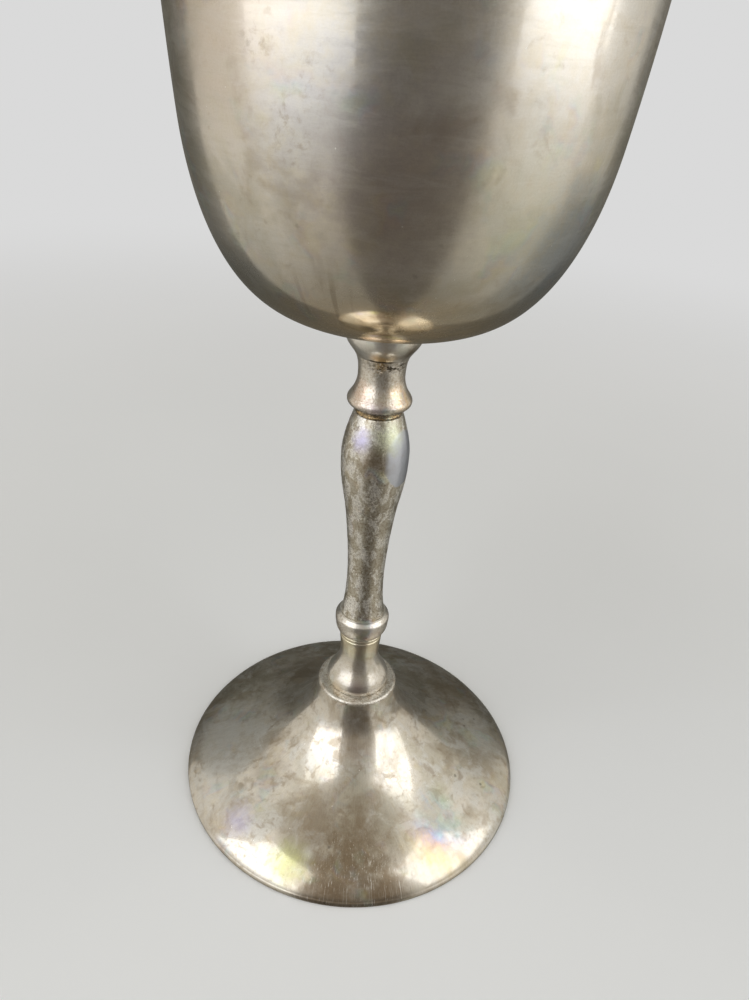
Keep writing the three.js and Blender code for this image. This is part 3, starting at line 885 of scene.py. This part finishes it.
def build_rim_wire():
    """The wire in the foot's edge, slightly drawn along its length."""
    low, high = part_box("foot_rim_wire")
    thickness = (high.z - low.z) / 2
    circle = high.x - thickness
    around = np.linspace(0, 2 * math.pi, 24, endpoint=False)
    section = np.stack([circle + thickness * np.cos(around), thickness * np.sin(around)], 1)
    section[:, 1] += (low.z + high.z) / 2
    radius, height = grids(section, SHELL_STEPS)
    radius = radius - np.abs(ripple(radius, height, 0.6 * MM, 0.02 * MM, 8))
    piece = spun("foot_rim_wire_finished", radius, height, closed=True)
    material = plain_metal("wire_brass", (0.62, 0.46, 0.22), (0.30, 0.22, 0.12), 0.35)
    return finish_piece(piece, "foot_rim_wire", material)


# ---------------------------------------------------------------- hardware

# M4 threads, a little shallower than real ones.
PITCH = 0.7 * MM
ROWS_PER_TURN = 8
ROD_THREAD_DEPTH = 0.35 * MM
NUT_THREAD_DEPTH = 0.3 * MM
BOSS_THREAD_DEPTH = 0.25 * MM
ROD_CHAMFER = 0.4 * MM
# The rod's plain shank is this much slimmer than its threads' crests, and has one row of points in so many.
SHANK_RELIEF = 0.2 * MM
SHANK_ROW_SHARE = 24
BOSS_BORE = 2.05 * MM
BOSS_HOLE_DEPTH = 3.0 * MM
NUT_BORE = 2.08 * MM
NUT_CHAMFER = math.radians(30)
# The nut's flat end reaches out to this share of its half-width across the flats.
NUT_END_SHARE = 0.97
# In millimetres, as in an outline.
WASHER_BORE = 2.2


def thread_wave(height, depth):
    """How deep a right-hand thread is at each height of a spun grid: 0 at the rod's crests."""
    steps = height.shape[1]
    phase = (height / PITCH - np.arange(steps) / steps) % 1
    return depth * (1 - np.abs(2 * phase - 1))


def build_tie_rod():
    """A rod with a screw thread at each end and a plain shank between."""
    low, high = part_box("tie_rod")
    outer = high.x
    rows = int((high.z - low.z - 2 * ROD_CHAMFER) / PITCH * ROWS_PER_TURN)
    z = np.linspace(low.z + ROD_CHAMFER, high.z - ROD_CHAMFER, rows + 1)
    threaded = (z < low.z + 20 * MM) | (z > high.z - 7 * MM)
    z = z[threaded | (np.arange(len(z)) % SHANK_ROW_SHARE == 0)]
    height = np.repeat(z[:, None], HARDWARE_STEPS, 1)
    radius = np.full_like(height, outer)
    on_thread = np.clip((low.z + 19 * MM - height) / MM, 0, 1)
    on_thread += np.clip((height - high.z + 6 * MM) / MM, 0, 1)
    radius = radius - on_thread * thread_wave(height, ROD_THREAD_DEPTH) - (1 - on_thread) * SHANK_RELIEF
    tip = np.full((1, HARDWARE_STEPS), outer - ROD_CHAMFER)
    level = np.ones((1, HARDWARE_STEPS))
    radius = np.vstack([tip, radius, tip])
    height = np.vstack([level * low.z, height, level * high.z])
    piece = spun("tie_rod_finished", radius, height, closed=False)
    material = plain_metal("rod_steel", (0.50, 0.49, 0.46), (0.28, 0.26, 0.22), 0.3)
    return finish_piece(piece, "tie_rod", material)


def build_boss():
    """The boss under the bowl: chamfered, with a threaded blind hole."""
    low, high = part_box("bowl_boss")
    rows = int(BOSS_HOLE_DEPTH / PITCH * ROWS_PER_TURN)
    wall = np.linspace(low.z + BOSS_HOLE_DEPTH, low.z + 0.1 * MM, rows)
    hole = np.repeat(wall[:, None], HARDWARE_STEPS, 1)
    hole_radius = BOSS_BORE - thread_wave(hole, BOSS_THREAD_DEPTH)
    side = Outline(2.6, 0).to(3.6, 0, 2).corner((3.9, 0), (3.9, 0.3), 4).to(3.9, 5.3, 8)
    outside = side.array() * MM
    outside[:, 0] *= high.x / outside[:, 0].max()
    outside[:, 1] *= (high.z - low.z) / outside[:, 1].max()
    outside[:, 1] += low.z
    side_radius, side_height = grids(outside, HARDWARE_STEPS)
    start = np.full((1, HARDWARE_STEPS), 0.3 * MM)
    radius = np.vstack([start, hole_radius, side_radius, start])
    level = np.full((1, HARDWARE_STEPS), 1.0)
    height = np.vstack([level * (low.z + BOSS_HOLE_DEPTH), hole, side_height, level * high.z])
    piece = spun("bowl_boss_finished", radius, height, closed=False)
    material = plain_metal("boss_brass", (0.62, 0.46, 0.22), (0.34, 0.25, 0.13), 0.3)
    return finish_piece(piece, "bowl_boss", material)


def build_spreader_washer():
    """A stamped washer: rounded on the side the punch entered, and with nearly sharp edges on the other."""
    side = Outline(6.5, 0).to(2.5, 0, 10).corner((WASHER_BORE, 0), (WASHER_BORE, 0.35), 4)
    side.to(WASHER_BORE, 1.2, 3)
    side.to(6.7, 1.2, 10).corner((6.8, 1.2), (6.8, 1.1), 2).to(6.8, 0.35, 3)
    path = side.corner((6.8, 0.0), (6.5, 0.0), 5).array()[:-1][::-1]
    radius, height = grids(fitted(path, "spreader_washer"), HARDWARE_STEPS * 2)
    piece = spun("spreader_washer_finished", radius, height, closed=True)
    material = plain_metal("washer_brass", (0.64, 0.48, 0.24), (0.32, 0.23, 0.12), 0.28)
    return finish_piece(piece, "spreader_washer", material)


def build_lock_washer():
    """A split ring with a trapezoid section and cut ends."""
    low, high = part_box("lock_washer")
    outer, inner = high.y, WASHER_BORE * MM
    gap = 0.45 * MM
    wedge = 0.06 * MM
    soft = 0.12 * MM
    section = [
        (outer - soft, low.z), (outer, low.z + soft), (outer, high.z - soft), (outer - soft, high.z),
        (inner + soft, high.z - wedge), (inner, high.z - wedge - soft),
        (inner, low.z + wedge + soft), (inner + soft, low.z + wedge),
    ]
    steps = HARDWARE_STEPS
    vertices = []
    for radius, height in section:
        lean = gap / radius
        for turn in np.linspace(lean, 2 * math.pi - lean, steps):
            vertices.append((radius * math.cos(turn), radius * math.sin(turn), height))
    count = len(section)
    faces = []
    for k in range(count):
        a, b = k * steps, (k + 1) % count * steps
        faces += [[a + i, a + i + 1, b + i + 1, b + i] for i in range(steps - 1)]
    faces.append([k * steps for k in range(count)])
    faces.append([k * steps + steps - 1 for k in reversed(range(count))])
    piece = mesh_piece("lock_washer_finished", np.array(vertices), faces)
    material = plain_metal("washer_steel", (0.46, 0.45, 0.42), (0.24, 0.22, 0.18), 0.3)
    return finish_piece(piece, "lock_washer", material)


def build_nut():
    """A hexagon nut, chamfered at both ends, with a threaded bore."""
    low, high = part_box("nut")
    flat = (high.y - low.y) / 2
    steps = HARDWARE_STEPS * 2
    turn = np.arange(steps) * 2 * math.pi / steps
    hexagon = flat / np.cos(turn % (math.pi / 3) - math.pi / 6)
    face = flat * NUT_END_SHARE
    drop = (hexagon - face) * math.tan(NUT_CHAMFER)
    rows = int((high.z - low.z) / PITCH * ROWS_PER_TURN)
    wall = np.linspace(high.z - 0.2 * MM, low.z + 0.2 * MM, rows)
    hole = np.repeat(wall[:, None], steps, 1)
    thread = NUT_BORE - thread_wave(hole, NUT_THREAD_DEPTH)
    even_row = np.ones((1, steps))
    mouth, edge, corner = even_row * (NUT_BORE + 0.1 * MM), even_row * face, hexagon[None]
    radius = np.vstack([mouth, edge, corner, corner, edge, mouth, thread])
    bottom, top = even_row * low.z, even_row * high.z
    height = np.vstack([bottom, bottom, bottom + drop, top - drop, top, top, hole])
    piece = spun("nut_finished", radius, height, closed=True)
    material = plain_metal("nut_brass", (0.66, 0.49, 0.24), (0.36, 0.26, 0.14), 0.26)
    return finish_piece(piece, "nut", material)


# ---------------------------------------------------------------- studio


PALE = (0.70, 0.70, 0.70)


def studio_floor():
    """A pale floor that fades into a backdrop of its own colour, and that is clear from below.

    The metal mirrors the world instead.
    """
    size = 40.0
    z = CAD_LOW.z
    corners = np.array([(-size, -size, z), (size, -size, z), (size, size, z), (-size, size, z)])
    floor = mesh_piece("studio_floor", corners, [[0, 1, 2, 3]])
    material = bpy.data.materials.new("pale_floor")
    material.use_nodes = True
    n = Nodes(material.node_tree)
    place = n.add("ShaderNodeTexCoord").outputs["Object"]
    tone = n.spread(n.noise(place, 4.0, 3.0), 0.35, 0.65)
    colour = n.mix(tone, (0.83, 0.86, 0.90), (0.86, 0.89, 0.93))
    near = n.add("ShaderNodeBsdfPrincipled", {"Base Color": colour, "Roughness": 0.9})
    far = n.add("ShaderNodeEmission", {"Color": PALE})
    reach = n.vector("DISTANCE", place, (0, 0, z))
    fade = n.spread(reach, 0.05, 0.6)
    both = n.add("ShaderNodeMixShader", {0: fade, 1: near.outputs[0], 2: far.outputs[0]})
    below = n.add("ShaderNodeNewGeometry").outputs["Backfacing"]
    clear = n.add("ShaderNodeBsdfTransparent")
    seen = n.add("ShaderNodeMixShader", {0: below, 1: both.outputs[0], 2: clear.outputs[0]})
    n.add("ShaderNodeOutputMaterial", {"Surface": seen.outputs[0]})
    floor.data.materials.append(material)
    floor.visible_glossy = False


def window_light(name, azimuth, width, low, high):
    """A tall soft light that faces the chalice, dimmer at its foot.

    Azimuth is in degrees from the front, and the rest is in metres.
    """
    distance = 0.41
    turn = math.radians(azimuth)
    out = np.array([math.sin(turn), -math.cos(turn), 0]) * distance
    side = np.array([math.cos(turn), math.sin(turn), 0]) * width / 2
    corners = np.array([out - side, out + side, out + side, out - side])
    corners[:, 2] = [low, low, high, high]
    light = mesh_piece(name, corners, [[0, 1, 2, 3]])
    material = bpy.data.materials.new(name)
    material.use_nodes = True
    n = Nodes(material.node_tree)
    place = n.add("ShaderNodeTexCoord").outputs["Object"]
    height = n.add("ShaderNodeSeparateXYZ", {0: place}).outputs[2]
    strength = n.spread(height, 0.05, 0.15, 0.9, 2.0)
    glow = n.add("ShaderNodeEmission", {"Color": (1.0, 0.985, 0.955), "Strength": strength})
    n.add("ShaderNodeOutputMaterial", {"Surface": glow.outputs[0]})
    light.data.materials.append(material)
    light.visible_camera = False


def studio_world():
    """The room that the metal mirrors: pale walls to each side, and dark cloth ahead, behind and below."""
    world = bpy.data.worlds.new("studio")
    bpy.context.scene.world = world
    world.use_nodes = True
    n = Nodes(world.node_tree)
    way = n.add("ShaderNodeTexCoord").outputs["Generated"]
    x, y, z = n.add("ShaderNodeSeparateXYZ", {0: way}).outputs[:3]
    azimuth = n.math("DEGREES", n.math("ARCTAN2", x, n.math("MULTIPLY", y, -1.0)))
    elevation = n.math("DEGREES", n.math("ARCSINE", z))

    def stretch(value, low, high, edge_low, edge_high):
        """1 between two angles, easing to 0 over the given edges."""
        rising = n.spread(value, low - edge_low, low + edge_low)
        return n.times(rising, n.spread(value, high + edge_high, high - edge_high))

    # Dark cloth behind, lighter higher up, and the table below.
    light = n.mix(n.spread(elevation, 6, 24), (0.10, 0.097, 0.085), (0.24, 0.235, 0.21))
    light = n.mix(n.spread(elevation, 40, 60), light, (0.34, 0.33, 0.29))
    light = n.mix(n.spread(elevation, -45, -80), light, (0.15, 0.14, 0.12))
    # Walls to the left and the right, brighter higher up and fading towards the table.
    wall = n.mix(n.spread(elevation, -14, -75), (0.64, 0.60, 0.525), (0.24, 0.22, 0.18))
    wall = n.mix(n.spread(elevation, 15, 45), wall, (0.80, 0.76, 0.68))
    walls = n.plus(stretch(azimuth, -117, -27, 1.5, 8), stretch(azimuth, 34, 130, 10, 1.5), clamp=True)
    shade = n.times(n.spread(azimuth, 92, 104), n.spread(elevation, -12, -16))
    wall = n.mix(shade, wall, (0.25, 0.24, 0.21))
    light = n.mix(walls, light, wall)
    # A dark figure in the middle.
    person = n.times(stretch(azimuth, -26, 40, 8, 8), n.spread(elevation, 66, 50))
    body = n.mix(n.spread(elevation, 5, 25), (0.125, 0.112, 0.096), (0.33, 0.29, 0.24))
    light = n.mix(person, light, body)
    light = n.mix(n.spread(elevation, 64, 70), light, (0.40, 0.365, 0.295))
    mirrored = n.add("ShaderNodeBackground", {"Color": light, "Strength": 1.0})
    seen = n.add("ShaderNodeBackground", {"Color": PALE, "Strength": 1.0})
    camera_ray = n.add("ShaderNodeLightPath").outputs["Is Camera Ray"]
    shader = n.add("ShaderNodeMixShader", {0: camera_ray, 1: mirrored.outputs[0], 2: seen.outputs[0]})
    n.add("ShaderNodeOutputWorld", {"Surface": shader.outputs[0]})


# The camera looks down on the foot from the front, close to, and leans a little.
CAMERA_PLACE = (0, -119.6 * MM, 141.6 * MM)
CAMERA_PITCH = 31.17
CAMERA_ROLL = 4.62
CAMERA_LENS = 27.04
CAMERA_SHIFT = 0.00305


def studio_camera():
    data = bpy.data.cameras.new("camera")
    camera = bpy.data.objects.new("camera", data)
    bpy.context.scene.collection.objects.link(camera)
    data.sensor_width = 36
    data.lens = CAMERA_LENS
    data.shift_x = CAMERA_SHIFT
    data.clip_start = 0.005
    camera.location = CAMERA_PLACE
    tilt = math.radians(90 - CAMERA_PITCH)
    roll = math.radians(CAMERA_ROLL)
    camera.rotation_mode = "QUATERNION"
    camera.rotation_quaternion = Quaternion((1, 0, 0), tilt) @ Quaternion((0, 0, 1), roll)
    bpy.context.scene.camera = camera


build_bowl()
build_boss()
build_bowl_seat()
build_upper_spool()
build_baluster()
build_lower_ring()
build_lower_spool()
build_seat_ring()
build_foot()
build_rim_wire()
build_tie_rod()
build_spreader_washer()
build_lock_washer()
build_nut()
studio_floor()
window_light("studio_window_left", -47.5, 0.39, 0.04, 0.88)
window_light("studio_window_right", 69.5, 0.36, 0.06, 0.84)
studio_world()
studio_camera()
bpy.context.scene.view_settings.view_transform = "Standard"
